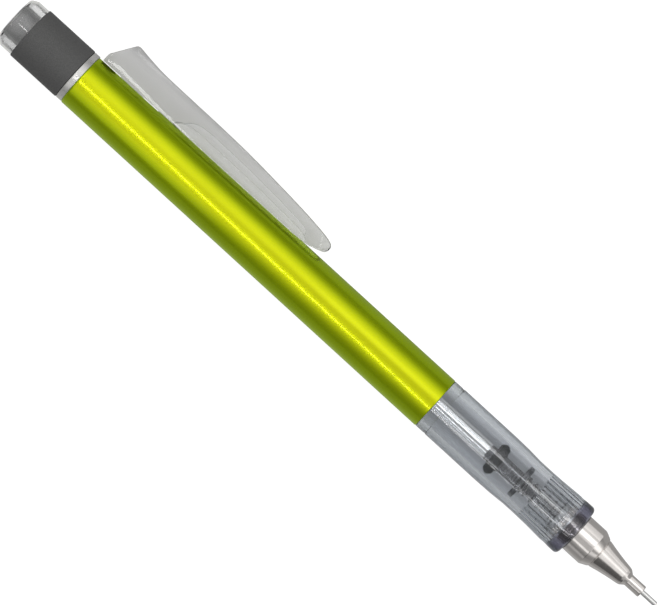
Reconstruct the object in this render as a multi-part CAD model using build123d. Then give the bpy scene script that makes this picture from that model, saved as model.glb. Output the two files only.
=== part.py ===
from build123d import *
import math
import os

# Mechanical pencil, 0.5 mm lead, with a side clip that is also the knock,
# a shaker weight and a twist-out eraser.
#
# The pencil lies along X: +X points to the writing tip, the clip is on the
# +Y side.  The origin is on the axis at the very end of the lead sleeve, so
# the body lies at negative X.  "Front" is towards the tip.  Millimetres.

LENGTH = 147.5
CLEARANCE = 0.05            # gap at the ends and sides of sliding or seated parts

# Stations along the axis (x)
X_STEP_FRONT = -4.05        # thick step of the nose
X_STEP_REAR = -7.15
X_CONE_FRONT = -7.85
X_SHOULDER_FRONT = -13.75   # foot of the shoulder cone
X_SHOULDER_REAR = -15.25
X_GRIP_FRONT = -19.1
X_PIPE_FRONT = -39.3        # lead pipe
X_JOINT = -51.3             # barrel meets grip
X_PIPE_REAR = -113.45
X_BARREL_REAR = -132.3
X_RING_REAR = -133.5
X_KNOB_REAR = -143.9
X_COLLAR_REAR = -LENGTH

# Radii
R_LEAD = 0.28
R_NOSE = 3.60
R_BARREL = 5.04
R_BARREL_BORE = 4.45

# Travel
KNOCK_TRAVEL = 3.5          # clip knock
LOCK_TRAVEL = 1.5           # clip pushed back to stop the shaker
ERASER_TRAVEL = 12.0        # eraser pushed out by the knob

# Clip stem, shared with the slot and window it passes through
STEM_WIDTH = 3.0
STEM_REAR, STEM_FRONT = -127.5, -122.5


def turned(*points):
    """Solid of revolution about X from (x, radius) points."""
    return revolve(make_face(Polyline(*points, close=True)), axis=Axis.X, revolution_arc=360)


def tube(x0, x1, outer, inner, chamfer=0.0):
    """Plain tube from x0 to x1, with optional chamfers on the two outer edges."""
    if chamfer:
        return turned(
            (x0, inner), (x0, outer - chamfer), (x0 + chamfer, outer),
            (x1 - chamfer, outer), (x1, outer - chamfer), (x1, inner))
    return turned((x0, inner), (x0, outer), (x1, outer), (x1, inner))


def block(x0, x1, y0, y1, z0, z1):
    """Box between opposite corners."""
    return Pos((x0 + x1) / 2, (y0 + y1) / 2, (z0 + z1) / 2) * Box(x1 - x0, y1 - y0, z1 - z0)


def rod(x, radius, length, y=0, z=0):
    """Cylinder along X, centred at (x, y, z)."""
    return Pos(x, y, z) * (Rot(Y=90) * Cylinder(radius, length))


def peg(x, y, radius, length):
    """Cylinder along Y, centred at (x, y, 0)."""
    return Pos(x, y, 0) * (Rot(X=90) * Cylinder(radius, length))


# ---- Nose ------------------------------------------------------------------
R_SLEEVE = 0.46
R_SLEEVE_BORE = 0.31
R_SLEEVE_SEAT = 0.62        # larger pressed-in end of the sleeve
R_STEP = 1.12
R_SPIGOT = 2.82             # root of the thread on the nose cone
R_THREAD = 3.0
THREAD_PITCH = 0.5
THREAD_RINGS = 6


def lead_sleeve():
    """Thin steel pipe that guides the lead at the paper."""
    return turned(
        (-7.55, R_SLEEVE_BORE), (-7.55, R_SLEEVE_SEAT), (X_STEP_FRONT, R_SLEEVE_SEAT),
        (X_STEP_FRONT, R_SLEEVE), (-0.08, R_SLEEVE), (0.0, R_SLEEVE - 0.08),
        (0.0, R_SLEEVE_BORE))


def nose_cone():
    """Plated brass turning, in one piece from the thread to the step."""
    outer = [
        (X_STEP_FRONT, R_SLEEVE_SEAT), (X_STEP_FRONT, R_STEP - 0.16),
        (X_STEP_FRONT - 0.16, R_STEP), (X_STEP_REAR, R_STEP),
        (X_CONE_FRONT, 1.66), (X_CONE_FRONT - 0.12, 1.74),
        (-9.45, 1.97), (-10.8, 2.20), (-12.1, 2.46), (-13.0, 2.66),
        (X_SHOULDER_FRONT, 2.83), (X_SHOULDER_FRONT - 0.02, 2.90),
        (-14.15, 3.05), (-14.75, 3.34),
        (X_SHOULDER_REAR, R_NOSE - 0.02), (X_SHOULDER_REAR - 0.08, R_NOSE),
        (X_GRIP_FRONT + 0.25, R_NOSE), (X_GRIP_FRONT + 0.1, R_NOSE - 0.12),
        (X_GRIP_FRONT + 0.1, 3.3), (X_GRIP_FRONT - 0.1, 3.3), (X_GRIP_FRONT - 0.1, R_SPIGOT),
    ]
    # the thread is shown as separate rings at the real pitch
    for k in range(THREAD_RINGS):
        x = X_GRIP_FRONT - 0.45 - k * THREAD_PITCH
        outer += [(x, R_SPIGOT), (x - 0.14, R_THREAD), (x - 0.24, R_THREAD), (x - 0.38, R_SPIGOT)]
    inner = [
        (-22.6, R_SPIGOT), (-22.6, 2.42), (-15.38, 2.42), (-15.38, 2.15), (-12.42, 2.15),
        (-12.42, 1.38), (-8.80, 1.38), (-8.80, 1.18), (-7.60, 1.18), (-7.60, R_SLEEVE_SEAT),
    ]
    return turned(*outer, *inner)


def lead_retainer():
    """Soft rubber washer that stops the lead falling back."""
    return tube(-8.75, -7.65, 1.17, 0.292)


def chuck_sleeve():
    """Seats in the nose; its front wall carries the clutch ring, its inside step the spring."""
    return turned(
        (-15.42, 1.04), (-15.42, 2.30), (-15.50, 2.38), (-22.65, 2.38), (-22.65, 2.92),
        (-23.40, 2.92), (-23.40, 1.97), (-17.00, 1.97), (-17.00, 1.04))


def clutch_ring():
    """Loose brass ring round the chuck jaws."""
    return turned(
        (-15.35, 1.09), (-15.35, 2.02), (-15.25, 2.08), (-13.15, 2.08), (-13.05, 1.98),
        (-13.05, 1.29))


def chuck():
    """Three-jaw collet."""
    jaws = 3
    slit_width = 0.22
    collet = turned(
        (-33.5, 0.30), (-33.5, 0.86), (-16.6, 0.86), (-15.3, 0.98), (-13.2, 1.22),
        (-12.9, 1.22), (-12.6, 1.05), (-12.6, 0.30))
    for k in range(jaws):
        slit = block(-24.0, -12.5, 0.0, 1.5, -slit_width / 2, slit_width / 2)
        collet -= Rot(X=360 / jaws * k + 30) * slit
    return collet


def return_spring():
    """Round wire spring with open ends, between sleeve and connector."""
    x_rear, x_front = -31.0, -17.2
    coils = 10
    length = x_front - x_rear
    helix = Helix(pitch=length / coils, height=length, radius=1.66)
    spring = sweep((helix ^ 0) * Circle(0.15), path=helix, is_frenet=True)
    return Pos(x_rear, 0, 0) * (Rot(Y=90) * spring)


# ---- Feed train ------------------------------------------------------------
R_PIPE = 1.46
R_CONNECTOR_SPIGOT = 1.14   # both ends of the connector


def connector():
    """Joins the chuck's tail to the lead pipe."""
    x_pipe_stop = X_PIPE_FRONT + CLEARANCE
    return turned(
        # front spigot that grips the chuck's tail, then the flange
        (-24.6, 0.87), (-24.6, 1.06), (-24.7, R_CONNECTOR_SPIGOT), (-31.2, R_CONNECTOR_SPIGOT),
        (-31.2, 2.92), (-31.28, 3.0), (-32.12, 3.0), (-32.2, 2.92), (-32.2, R_PIPE),
        # collar and seat for the cushion ring
        (-36.15, R_PIPE), (-36.15, 1.86), (-36.35, 1.86), (-36.35, R_PIPE),
        (x_pipe_stop, R_PIPE), (x_pipe_stop, R_CONNECTOR_SPIGOT),
        # rear spigot inside the lead pipe, with its lead-in funnel
        (-43.0, R_CONNECTOR_SPIGOT), (-43.0, 1.02), (-42.0, 0.36), (-33.55, 0.36),
        (-33.55, 0.87))


def cushion_ring():
    """Rounded ring on the connector."""
    return turned(
        (-38.05, 1.47), (-38.2, 2.0), (-38.2, 2.45), (-38.0, 2.80), (-37.6, 3.0), (-37.1, 3.0),
        (-36.7, 2.80), (-36.45, 2.45), (-36.40, 2.0), (-36.45, 1.47))


def lead_pipe():
    return tube(X_PIPE_REAR, X_PIPE_FRONT, R_PIPE, 1.15, chamfer=0.08)


def spare_leads():
    """Three leads round the axis inside the lead pipe."""
    length = 60.0
    x_rear = -104.5
    offset = 0.62
    # (shift along x, angle from +Y in degrees)
    places = ((0.0, 90.0), (1.6, 210.0), (0.7, 330.0))
    leads = []
    for shift, degrees in places:
        angle = math.radians(degrees)
        leads.append(rod(x_rear + shift + length / 2, R_LEAD, length,
                         y=offset * math.cos(angle), z=offset * math.sin(angle)))
    return Compound(children=leads)


def lead():
    """Writing lead, held in the chuck."""
    return turned((-41.0, 0), (-41.0, R_LEAD), (-0.45, R_LEAD), (-0.05, 0.10), (-0.05, 0))


def shaker_weight():
    """Weight free to slide on the lead pipe."""
    return tube_with_bevels(-74.5, -52.0, outer=3.10, inner=1.62, bevel=0.30)


def tube_with_bevels(x0, x1, outer, inner, bevel):
    """Tube with both outer edges bevelled."""
    return tube(x0, x1, outer, inner, chamfer=bevel)


# ---- Body ------------------------------------------------------------------
R_GRIP_REAR = 5.02
R_GRIP_WAIST = 4.78
RIB_COUNT = 24
SLOT_WIDTH = 3.2
R_RING = 4.97
R_RING_BORE = 3.86          # also the slider's rear bore


def grip():
    """Clear tinted moulding with ribs inside."""
    outer = [
        (X_GRIP_FRONT, 3.42), (X_GRIP_FRONT, 4.20), (-19.18, 4.58), (-19.42, 4.84),
        (-19.85, 4.98), (-20.4, 5.03), (-21.2, 5.01), (-21.9, 4.95), (-23.0, 4.98),
        (-24.0, 4.94), (-26.5, 4.82), (-29.0, R_GRIP_WAIST), (-31.6, 4.79), (-34.0, 4.93),
        (-36.0, 4.99), (-38.5, R_GRIP_REAR), (-49.0, R_GRIP_REAR), (-49.12, 4.88),
        (-49.38, 4.88), (-49.5, 4.98), (-51.2, 4.98), (X_JOINT, 4.90), (X_JOINT, 4.42),
        (-58.6, 4.42), (-59.0, 4.25), (-59.0, 3.68)]
    inner = [(-21.4, 3.68), (-21.1, 3.06), (-19.36, 3.06), (-19.36, 3.42)]
    shell = turned(*outer, *inner)
    ribs = Part()
    for k in range(RIB_COUNT):
        ribs += Rot(X=360 / RIB_COUNT * k) * block(-28.2, -21.45, 3.30, 3.80, -0.17, 0.17)
    return shell + ribs


def barrel():
    """Lime tube with an inner web behind the weight and the clip slot, open at the rear."""
    web_rear, web_front, r_web_bore = -76.6, -74.6, 1.60
    chamfer = 0.15
    body = turned(
        (X_JOINT, R_BARREL_BORE), (X_JOINT, R_BARREL - chamfer), (X_JOINT - chamfer, R_BARREL),
        (X_BARREL_REAR + chamfer, R_BARREL), (X_BARREL_REAR, R_BARREL - chamfer),
        (X_BARREL_REAR, R_BARREL_BORE), (web_rear, R_BARREL_BORE), (web_rear, r_web_bore),
        (web_front, r_web_bore), (web_front, R_BARREL_BORE))
    slot_front = STEM_FRONT + KNOCK_TRAVEL + CLEARANCE
    body -= block(-140.0, slot_front, 0, 8, -SLOT_WIDTH / 2, SLOT_WIDTH / 2)
    return body


def tail_ring():
    """White plug that closes the barrel and the slot."""
    return turned(
        (X_RING_REAR, R_RING_BORE), (X_RING_REAR, R_RING - 0.12), (X_RING_REAR + 0.12, R_RING),
        (X_BARREL_REAR, R_RING), (X_BARREL_REAR, 4.44), (-130.4, 4.44), (-130.4, R_RING_BORE))


def knock_slider():
    """White tube that carries the clip and pushes the lead pipe."""
    x_pipe_stop = X_PIPE_REAR - CLEARANCE
    slider = turned(
        (-130.1, R_RING_BORE), (-130.1, 4.39), (-118.0, 4.39), (-114.0, 2.60), (-108.0, 2.60),
        (-107.6, 2.20), (-107.6, 1.52), (x_pipe_stop, 1.52), (x_pipe_stop, 1.20),
        (-114.6, 1.20), (-118.3, R_RING_BORE))
    half_window = STEM_WIDTH / 2 + 0.06
    slider -= block(STEM_REAR - LOCK_TRAVEL - CLEARANCE, STEM_FRONT + CLEARANCE, 0, 8,
                    -half_window, half_window)
    return slider


# ---- Clip ------------------------------------------------------------------
CLIP_WIDTH_REAR = 4.6
CLIP_WIDTH_TIP = 3.9
CLIP_SKIRT = 0.75           # side wall of the hollow arm
R_STEM_FOOT = 3.98          # the stem's inner end, hollowed round the axis

# Side outlines, (x, y): y is the distance from the pencil's axis
CLIP_HEEL = [(-128.2, 4.90), (-131.6, 4.90), (-131.6, 6.35), (-128.95, 10.52)]
CLIP_BACK = [
    (-128.35, 10.80), (-126.2, 10.51), (-124.2, 10.28), (-122.2, 10.14), (-117.1, 10.07),
    (-112.0, 10.05), (-108.0, 10.01), (-104.0, 9.92), (-99.9, 9.74), (-95.9, 9.49),
    (-91.8, 9.21), (-88.0, 8.88), (-85.6, 8.61), (-83.9, 8.35), (-82.8, 8.08),
    (-82.15, 7.72), (-81.95, 7.20)]
CLIP_NOSE = [
    (-81.95, 7.20), (-82.0, 6.60), (-82.4, 6.12), (-83.2, 5.78), (-84.1, 5.50),
    (-84.8, 5.28), (-85.4, 5.15), (-86.4, 5.05), (-87.6, 4.96), (-88.6, 4.90)]
WIDE_CHANNEL = [
    (-115.9, 4.5), (-115.8, 5.15), (-115.4, 5.70), (-114.6, 6.25), (-113.2, 6.62),
    (-111.0, 6.76), (-104.0, 6.78), (-95.9, 6.64), (-91.8, 6.50), (-88.2, 6.28),
    (-86.9, 6.05), (-86.2, 5.70), (-85.9, 5.30), (-85.8, 4.5)]
DEEP_CHANNEL = [
    (-114.5, 5.5), (-114.3, 6.30), (-113.7, 6.95), (-112.7, 7.55), (-111.4, 7.90),
    (-109.0, 8.02), (-104.0, 8.00), (-99.9, 7.88), (-95.9, 7.70), (-91.8, 7.48),
    (-88.6, 7.22), (-87.4, 6.98), (-86.8, 6.60), (-86.6, 5.5)]


def clip():
    """Clear moulding: thick rear block, hollow springy arm, ball near the tip."""
    outline = (Polyline(*CLIP_HEEL) + Line(CLIP_HEEL[-1], CLIP_BACK[0]) + Spline(*CLIP_BACK)
               + Spline(*CLIP_NOSE) + Line(CLIP_NOSE[-1], CLIP_HEEL[0]))
    body = extrude(make_face(outline), amount=CLIP_WIDTH_REAR / 2, both=True)

    # taper of the arm in plan, rounded at the tip
    half_tip = CLIP_WIDTH_TIP / 2
    cut_height = 14
    for side in (1, -1):
        wedge = make_face(Polyline(
            (-112.0, side * CLIP_WIDTH_REAR / 2), (-84.5, side * half_tip),
            (-83.3, side * (half_tip - 0.18)), (-82.5, side * (half_tip - 0.60)),
            (-81.9, side * 0.8), (-81.0, side * 0.8), (-81.0, side * 4.0),
            (-112.0, side * 4.0), close=True))
        body -= Rot(X=90) * extrude(Pos(0, 0, -cut_height) * wedge, amount=cut_height)

    # wide channel under the arm, with a narrower, deeper one in its roof
    half_hollow = half_tip - CLIP_SKIRT
    for channel, half_width in ((WIDE_CHANNEL, half_hollow), (DEEP_CHANNEL, half_hollow - 0.5)):
        face = make_face(Polyline(*channel, close=True))
        body -= extrude(face, amount=half_width, both=True)

    # underside follows the round barrel
    body -= rod(-105, R_BARREL + 0.10, 60)

    # stem through the slot, into the slider's window
    stem = block(STEM_REAR, STEM_FRONT, R_STEM_FOOT, 6.4, -STEM_WIDTH / 2, STEM_WIDTH / 2)
    stem -= rod((STEM_REAR + STEM_FRONT) / 2, R_STEM_FOOT, 10)
    body += stem

    # gripping ball
    body += Pos(-86.0, 5.92, 0) * Sphere(0.82)
    return body


# ---- Twist eraser unit -----------------------------------------------------
ERASER_PITCH = 6.0          # eraser feed per turn
R_CASE = 3.80
R_CASE_BORE = 3.26
R_SPINDLE = 3.20
R_KNOB = 5.05
R_KNOB_BORE = 3.21          # also the collar's
R_COLLAR = 4.90
R_PIN = 0.40
# fully out, the pin's rear edge is level with the rear of the tail ring
X_PIN = X_RING_REAR + ERASER_TRAVEL + R_PIN


def eraser_case():
    """Fixed tube with an outer ring groove and an inner guide groove for the pin."""
    case = turned(
        (X_RING_REAR, R_CASE_BORE), (X_RING_REAR, R_CASE), (-131.75, R_CASE), (-131.75, 3.58),
        (-130.95, 3.58), (-130.95, R_CASE), (-119.60, R_CASE), (-119.60, R_CASE_BORE))
    reach = R_PIN + CLEARANCE
    case -= block(X_PIN - ERASER_TRAVEL - reach, X_PIN + reach, 3.0, 3.50, -reach, reach)
    return case


def case_o_ring():
    return turned(
        (-131.66, 3.59), (-131.71, 3.68), (-131.66, 3.77), (-131.52, 3.84), (-131.18, 3.84),
        (-131.04, 3.77), (-130.99, 3.68), (-131.04, 3.59))


def eraser_spindle():
    """Turns with the knob; its helical slot drives the holder's pin."""
    bore = 2.84
    slot_radius = 3.0
    slot_width = 0.94
    spindle = turned(
        (-146.9, bore), (-146.9, 3.08), (-146.78, R_SPINDLE), (-119.55, R_SPINDLE),
        (-119.45, 3.62), (-119.0, 3.62), (-118.75, 3.40), (-118.75, bore))
    helix = Helix(pitch=ERASER_PITCH, height=ERASER_TRAVEL, radius=slot_radius)
    cutter = sweep((helix ^ 0) * Rectangle(slot_width, slot_width), path=helix, is_frenet=True)
    # the sweep starts on +X and climbs along +Z; laid over so that it starts
    # at the pin on +Y and runs back along -X
    spindle -= Pos(X_PIN, 0, 0) * (Rot(X=-90) * (Rot(Y=-90) * cutter))
    for end in (X_PIN, X_PIN - ERASER_TRAVEL):
        spindle -= peg(end, slot_radius, slot_width / 2, 1.2)
    return spindle


def eraser_knob():
    x_front = X_RING_REAR - 0.06
    return turned(
        (x_front, R_KNOB_BORE), (x_front, R_KNOB - 0.18), (x_front - 0.18, R_KNOB),
        (X_KNOB_REAR + 0.12, R_KNOB), (X_KNOB_REAR, R_KNOB - 0.12), (X_KNOB_REAR, R_KNOB_BORE))


def eraser_collar():
    """Clear collar behind the knob."""
    return turned(
        (X_KNOB_REAR, R_KNOB_BORE), (X_KNOB_REAR, R_COLLAR), (-146.3, R_COLLAR),
        (-146.75, 4.76), (-147.2, 4.46), (X_COLLAR_REAR, 4.10), (X_COLLAR_REAR, 3.50),
        (-147.4, 3.34), (-147.2, R_KNOB_BORE))


def eraser_holder():
    """Cup that pushes the eraser, with its drive pin."""
    holder = turned(
        (-124.4, 2.58), (-124.4, 2.76), (-120.3, 2.76), (-120.3, 0), (-121.6, 0), (-121.6, 2.58))
    holder += peg(X_PIN, 3.02, R_PIN, 0.88)
    return holder


def eraser():
    return turned((-146.6, 0), (-146.6, 2.30), (-146.35, 2.55), (-121.65, 2.55), (-121.65, 0))


PIECES = {
    "lead_sleeve": lead_sleeve,
    "nose_cone": nose_cone,
    "lead_retainer": lead_retainer,
    "chuck_sleeve": chuck_sleeve,
    "clutch_ring": clutch_ring,
    "chuck": chuck,
    "return_spring": return_spring,
    "connector": connector,
    "cushion_ring": cushion_ring,
    "lead_pipe": lead_pipe,
    "spare_leads": spare_leads,
    "lead": lead,
    "shaker_weight": shaker_weight,
    "grip": grip,
    "barrel": barrel,
    "tail_ring": tail_ring,
    "knock_slider": knock_slider,
    "clip": clip,
    "eraser_case": eraser_case,
    "case_o_ring": case_o_ring,
    "eraser_spindle": eraser_spindle,
    "eraser_knob": eraser_knob,
    "eraser_collar": eraser_collar,
    "eraser_holder": eraser_holder,
    "eraser": eraser,
}

os.makedirs("parts", exist_ok=True)
for name, build in PIECES.items():
    export_step(build(), f"parts/{name}.step")
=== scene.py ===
"""A mechanical pencil with a shaker weight, a smoke-clear grip and a clear clip.

It lies along X: the writing tip is at the +X end, close to x = 0, and the eraser knob at the
-X end. The clip is on the +Y side. Z is up, and the camera looks straight down.
Shapes are given in mm and turned into metres as they are built; materials are in metres.
"""
import bpy, bmesh, math
from mathutils import Vector, Matrix


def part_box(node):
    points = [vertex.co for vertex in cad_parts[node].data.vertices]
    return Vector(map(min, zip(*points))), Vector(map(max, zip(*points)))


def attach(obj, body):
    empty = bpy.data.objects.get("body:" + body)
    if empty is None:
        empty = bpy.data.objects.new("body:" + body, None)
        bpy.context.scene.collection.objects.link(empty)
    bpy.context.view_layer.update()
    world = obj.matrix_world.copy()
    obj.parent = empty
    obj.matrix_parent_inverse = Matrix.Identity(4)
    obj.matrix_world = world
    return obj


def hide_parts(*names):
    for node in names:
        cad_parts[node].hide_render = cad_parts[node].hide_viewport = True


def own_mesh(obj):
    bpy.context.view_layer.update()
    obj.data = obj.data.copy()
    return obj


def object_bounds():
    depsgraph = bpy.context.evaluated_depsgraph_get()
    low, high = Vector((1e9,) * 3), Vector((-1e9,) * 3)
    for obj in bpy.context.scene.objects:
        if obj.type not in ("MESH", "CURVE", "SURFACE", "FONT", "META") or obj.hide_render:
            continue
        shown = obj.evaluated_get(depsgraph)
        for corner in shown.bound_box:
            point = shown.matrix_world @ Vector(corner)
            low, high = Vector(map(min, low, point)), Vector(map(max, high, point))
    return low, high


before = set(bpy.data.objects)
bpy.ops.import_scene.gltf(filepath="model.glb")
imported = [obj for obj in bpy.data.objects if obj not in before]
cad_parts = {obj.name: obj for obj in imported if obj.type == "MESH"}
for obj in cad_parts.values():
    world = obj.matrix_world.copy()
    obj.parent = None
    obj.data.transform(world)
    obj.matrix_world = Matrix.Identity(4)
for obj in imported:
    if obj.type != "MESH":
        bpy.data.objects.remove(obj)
cad_lo, cad_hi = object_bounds()
MM = 0.001
scene = bpy.context.scene


# ===========================================================================
# stations along X and radii, read from the CAD nodes (mm)
# ===========================================================================
def span(node):
    low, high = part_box(node)
    return low.x / MM, high.x / MM


def outer_radius(node):
    low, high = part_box(node)
    return max(abs(low.z), abs(high.z)) / MM


SLEEVE_REAR, SLEEVE_FRONT = span("lead_sleeve")
NOSE_REAR, NOSE_FRONT = span("nose_cone")
GRIP_REAR, GRIP_FRONT = span("grip")
BARREL_REAR, BARREL_FRONT = span("barrel")
RING_REAR, RING_FRONT = span("tail_ring")
KNOB_REAR, KNOB_FRONT = span("eraser_knob")
COLLAR_REAR, COLLAR_FRONT = span("eraser_collar")
PIPE_REAR, PIPE_FRONT = span("lead_pipe")
CONNECTOR_REAR, CONNECTOR_FRONT = span("connector")
WEIGHT_REAR, WEIGHT_FRONT = span("shaker_weight")
SPRING_REAR, SPRING_FRONT = span("return_spring")
BARREL_R = outer_radius("barrel")
KNOB_R = outer_radius("eraser_knob")
COLLAR_R = outer_radius("eraser_collar")
RING_R = outer_radius("tail_ring")
WEIGHT_R = outer_radius("shaker_weight")


# ===========================================================================
# mesh helpers
# ===========================================================================
def corner_arc(before, corner, after, steps):
    """Points that round one profile corner, with a support point either side of the arc."""
    x, r, fillet = corner
    to_before = Vector((before[0] - x, before[1] - r))
    to_after = Vector((after[0] - x, after[1] - r))
    len_before, len_after = to_before.length, to_after.length
    if fillet <= 0 or min(len_before, len_after) < 1e-9:
        return [(x, r)]
    to_before /= len_before
    to_after /= len_after
    angle = math.acos(max(-1, min(1, to_before.dot(to_after))))
    if angle > math.pi - 0.05:
        return [(x, r)]
    # the arc uses up less than half of each neighbouring edge
    setback = min(fillet / math.tan(angle / 2), 0.46 * len_before, 0.46 * len_after)
    radius = setback * math.tan(angle / 2)
    bisector = (to_before + to_after).normalized()
    centre = Vector((x, r)) + bisector * (radius / math.sin(angle / 2))
    start = Vector((x, r)) + to_before * setback
    end = Vector((x, r)) + to_after * setback
    start_angle = math.atan2(start.y - centre.y, start.x - centre.x)
    end_angle = math.atan2(end.y - centre.y, end.x - centre.x)
    turn = (end_angle - start_angle + math.pi) % (2 * math.pi) - math.pi
    points = [tuple(start + to_before * min(0.06, 0.04 * len_before))]
    for k in range(steps + 1):
        a = start_angle + turn * k / steps
        points.append((centre.x + radius * math.cos(a), centre.y + radius * math.sin(a)))
    points.append(tuple(end + to_after * min(0.06, 0.04 * len_after)))
    return points


def rounded(profile, closed, steps):
    """Rounds the corners of an (x, radius[, fillet]) profile."""
    corners = [(*point, 0.0)[:3] for point in profile]
    count = len(corners)
    outline = []
    for i, corner in enumerate(corners):
        if not closed and i in (0, count - 1):
            outline.append(corner[:2])
        else:
            outline += corner_arc(corners[i - 1], corner, corners[(i + 1) % count], steps)
    return outline


def shade(mesh, sharp):
    """Smooth shading, split at edges over the sharp angle (degrees)."""
    mesh.polygons.foreach_set("use_smooth", [True] * len(mesh.polygons))
    mesh.set_sharp_from_angle(angle=math.radians(sharp))


def finish_mesh(work, name, sharp=38.0):
    bmesh.ops.remove_doubles(work, verts=work.verts, dist=1e-7)
    bmesh.ops.dissolve_degenerate(work, edges=work.edges, dist=1e-8)
    bmesh.ops.recalc_face_normals(work, faces=work.faces)
    mesh = bpy.data.meshes.new(name)
    work.to_mesh(mesh)
    work.free()
    shade(mesh, sharp)
    piece = bpy.data.objects.new(name, mesh)
    scene.collection.objects.link(piece)
    return piece


def lathe(name, profile, segs=160, closed=True, steps=4, reshape=None, sharp=38.0):
    """Turned piece about X from an (x, radius[, fillet]) profile in mm.

    reshape(x, radius, angle) may change the radius.
    """
    work = bmesh.new()
    rings = []
    for x, r in rounded(profile, closed, steps):
        if r < 1e-6:
            rings.append([work.verts.new((x * MM, 0, 0))])
            continue
        ring = []
        for k in range(segs):
            a = 2 * math.pi * k / segs
            shaped = reshape(x, r, a) if reshape else r
            ring.append(work.verts.new(
                (x * MM, shaped * MM * math.cos(a), shaped * MM * math.sin(a))))
        rings.append(ring)
    count = len(rings)
    for i in range(count if closed else count - 1):
        first, second = rings[i], rings[(i + 1) % count]
        for k in range(segs):
            j = (k + 1) % segs
            if len(first) == 1:
                work.faces.new((first[0], second[k], second[j]))
            elif len(second) == 1:
                work.faces.new((first[k], second[0], first[j]))
            else:
                work.faces.new((first[k], second[k], second[j], first[j]))
    return finish_mesh(work, name, sharp)


def loft(name, loops, sharp=38.0):
    """Closed skin through equal-length loops (mm), capped at both ends."""
    work = bmesh.new()
    rings = [[work.verts.new(Vector(point) * MM) for point in loop] for loop in loops]
    count = len(rings[0])
    for first, second in zip(rings, rings[1:]):
        for k in range(count):
            j = (k + 1) % count
            work.faces.new((first[k], second[k], second[j], first[j]))
    work.faces.new(list(reversed(rings[0])))
    work.faces.new(rings[-1])
    return finish_mesh(work, name, sharp)


def boolean(piece, cutter, operation, sharp=38.0):
    """Applies one exact boolean and throws the cutter away."""
    modifier = piece.modifiers.new("cut", "BOOLEAN")
    modifier.object, modifier.operation, modifier.solver = cutter, operation, "EXACT"
    depsgraph = bpy.context.evaluated_depsgraph_get()
    depsgraph.update()
    mesh = bpy.data.meshes.new_from_object(piece.evaluated_get(depsgraph))
    piece.modifiers.clear()
    old_mesh = piece.data
    piece.data = mesh
    bpy.data.meshes.remove(old_mesh)
    bpy.data.objects.remove(cutter)
    work = bmesh.new()
    work.from_mesh(mesh)
    bmesh.ops.remove_doubles(work, verts=work.verts, dist=2e-7)
    bmesh.ops.dissolve_degenerate(work, edges=work.edges, dist=1e-8)
    work.to_mesh(mesh)
    work.free()
    shade(mesh, sharp)
    return piece


def smooth_curve(points):
    """Monotone cubic through (x, y) points, held level beyond its ends."""
    xs, ys = zip(*points)
    count = len(xs)
    gaps = [xs[i + 1] - xs[i] for i in range(count - 1)]
    slopes = [(ys[i + 1] - ys[i]) / gaps[i] for i in range(count - 1)]
    tangents = [slopes[0]] + [0.0] * (count - 2) + [slopes[-1]]
    for i in range(1, count - 1):
        if slopes[i - 1] * slopes[i] > 0:
            before, after = 2 * gaps[i] + gaps[i - 1], gaps[i] + 2 * gaps[i - 1]
            tangents[i] = (before + after) / (before / slopes[i - 1] + after / slopes[i])

    def value(x):
        x = min(max(x, xs[0]), xs[-1])
        i = 0
        while i < count - 2 and x > xs[i + 1]:
            i += 1
        t = (x - xs[i]) / gaps[i]
        return ((1 + 2 * t) * (1 - t) ** 2 * ys[i] + t * (1 - t) ** 2 * gaps[i] * tangents[i]
                + t * t * (3 - 2 * t) * ys[i + 1] + t * t * (t - 1) * gaps[i] * tangents[i + 1])
    return value


# ===========================================================================
# shader helpers
# ===========================================================================
class Graph:
    """Node tree of a material or world, with short ways to add nodes.

    Wherever a value is taken, an output socket may be given instead.
    """

    def __init__(self, owner, output):
        owner.use_nodes = True
        self.tree = owner.node_tree
        self.tree.nodes.clear()
        self.out = self.add(output)
        self.coord = self.add("ShaderNodeTexCoord")

    def put(self, value, socket):
        """Links an output socket, or sets a value; a colour may be grey level or RGB."""
        if isinstance(value, bpy.types.NodeSocket):
            self.tree.links.new(value, socket)
        elif socket.type == "RGBA":
            rgb = (value,) * 3 if isinstance(value, (int, float)) else value
            socket.default_value = (*rgb, 1)
        else:
            socket.default_value = value

    def add(self, kind, inputs={}, **settings):
        node = self.tree.nodes.new(kind)
        for key, value in settings.items():
            setattr(node, key, value)
        for key, value in inputs.items():
            self.put(value, node.inputs[key])
        return node

    def ramp(self, source, stops):
        """Colour ramp from (position, grey or RGB) stops."""
        node = self.add("ShaderNodeValToRGB", {0: source})
        elements = node.color_ramp.elements
        while len(elements) < len(stops):
            elements.new(0.5)
        for element, (position, tone) in zip(elements, stops):
            element.position = position
            rgb = (tone,) * 3 if isinstance(tone, (int, float)) else tone
            element.color = (*rgb, 1)
        return node.outputs[0]

    def math(self, operation, *terms):
        node = self.add("ShaderNodeMath", dict(enumerate(terms)), operation=operation)
        return node.outputs[0]

    def chain(self, operation, total, *terms):
        for term in terms:
            total = self.math(operation, total, term)
        return total

    def remap(self, source, to=(0.0, 1.0), given=(0.3, 0.7), interpolation="LINEAR"):
        """Range 'given' mapped to range 'to'; the default suits a noise."""
        node = self.add("ShaderNodeMapRange", {
            "Value": source, "From Min": given[0], "From Max": given[1],
            "To Min": to[0], "To Max": to[1]}, interpolation_type=interpolation)
        return node.outputs[0]

    def mix(self, factor, first, second, blend="MIX"):
        node = self.add("ShaderNodeMix", {0: factor, 6: first, 7: second},
                        data_type="RGBA", blend_type=blend)
        return node.outputs[2]

    def split(self, vector):
        return self.add("ShaderNodeSeparateXYZ", {0: vector}).outputs


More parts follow.
